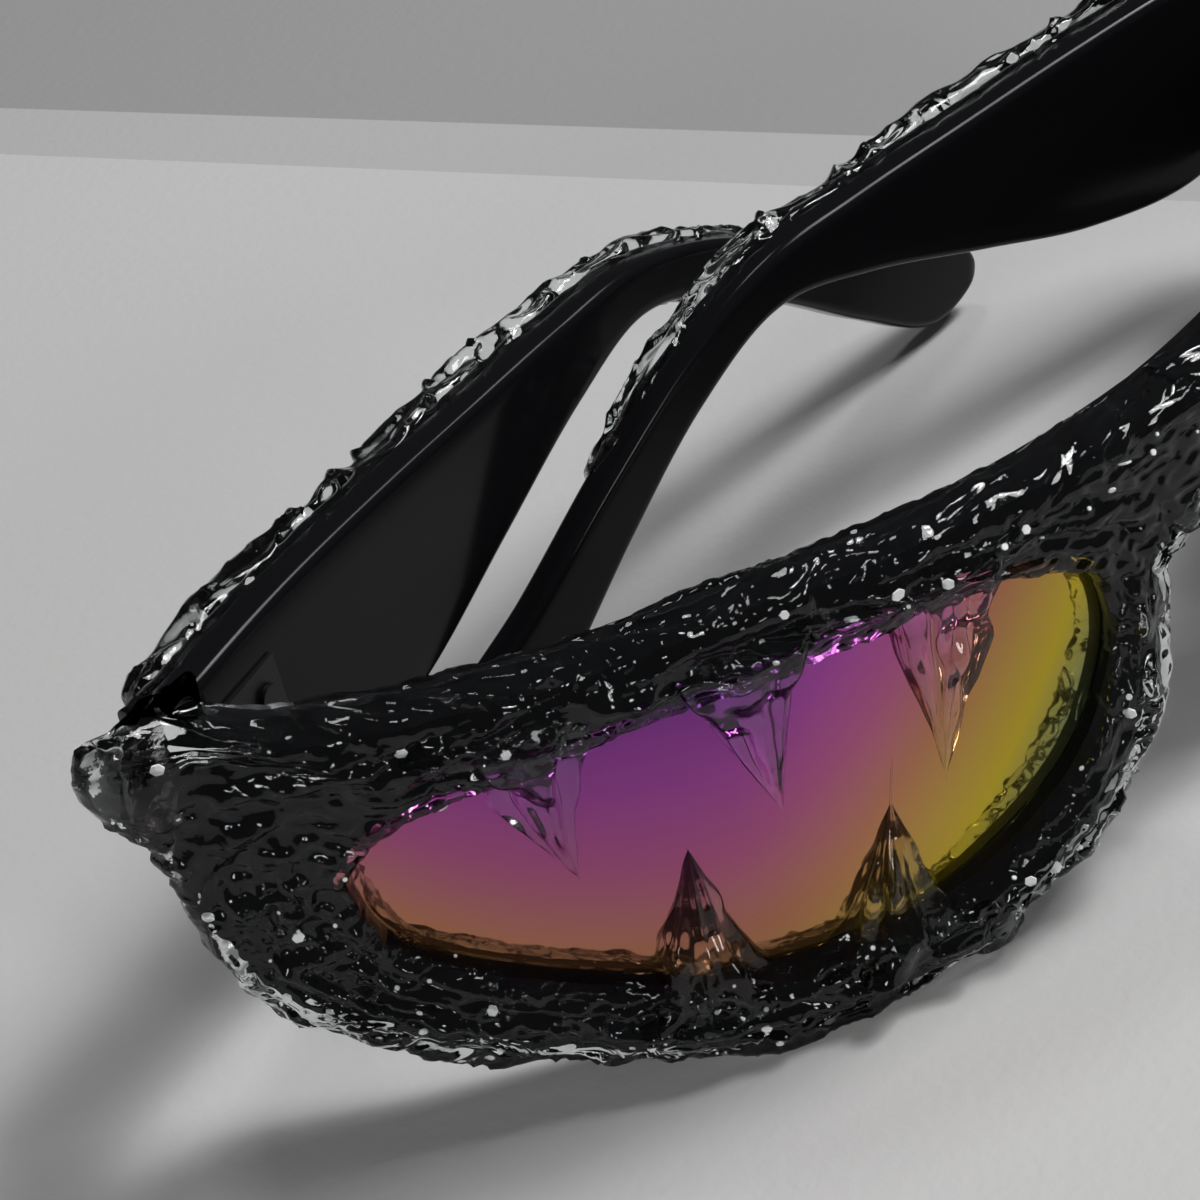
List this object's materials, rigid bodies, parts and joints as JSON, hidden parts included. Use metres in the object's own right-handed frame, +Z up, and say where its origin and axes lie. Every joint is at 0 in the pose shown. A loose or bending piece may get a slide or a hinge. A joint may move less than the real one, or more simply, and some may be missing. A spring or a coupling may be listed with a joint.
{
  "type": "wrap sunglasses",
  "caption": "Black wrap sunglasses with mirror lenses and a clear ice-like resin coat with icicles; the temples fold on screw hinges.",
  "frame": {"origin": "On the table, on the centre plane, at the mouth of the nose gap under the front face of the bridge.", "axes": "+Z up, the front faces -Y, +X is the wearer's left."},
  "size_m": [0.1402, 0.0624, 0.0332],
  "materials": {
    "black_plastic": "polished",
    "mirror_lens": "mirror coated, tinted",
    "clear_ice": "clear cast resin",
    "hinge_steel": "bright"
  },
  "bodies": {
    "front": {"front_frame": "black_plastic", "left_lens": "mirror_lens", "right_lens": "mirror_lens", "front_ice": "clear_ice", "left_icicles": "clear_ice", "right_icicles": "clear_ice", "left_front_leaf": "hinge_steel", "right_front_leaf": "hinge_steel", "left_front_rivets": "hinge_steel", "right_front_rivets": "hinge_steel", "left_hinge_screw": "hinge_steel", "right_hinge_screw": "hinge_steel"},
    "left_arm": {"left_temple": "black_plastic", "left_temple_leaf": "hinge_steel", "left_temple_rivets": "hinge_steel", "left_temple_ice": "clear_ice"},
    "right_arm": {"right_temple": "black_plastic", "right_temple_leaf": "hinge_steel", "right_temple_rivets": "hinge_steel", "right_temple_ice": "clear_ice"}
  },
  "joints": [
    {"name": "right_temple_fold", "type": "hinge", "parent": "front", "child": "right_arm", "pos_m": [-0.06079, 0.03645, 0.02565], "axis": [0, 0, 1], "range_deg": [0, 78.5]},
    {"name": "left_temple_fold", "type": "hinge", "parent": "front", "child": "left_arm", "pos_m": [0.06079, 0.03645, 0.02565], "axis": [0, 0, -1], "range_deg": [0, 72.5]}
  ],
  "couplings": [
    {"joint": "left_temple_fold", "follows": "right_temple_fold", "ratio": 0.92357}
  ]
}
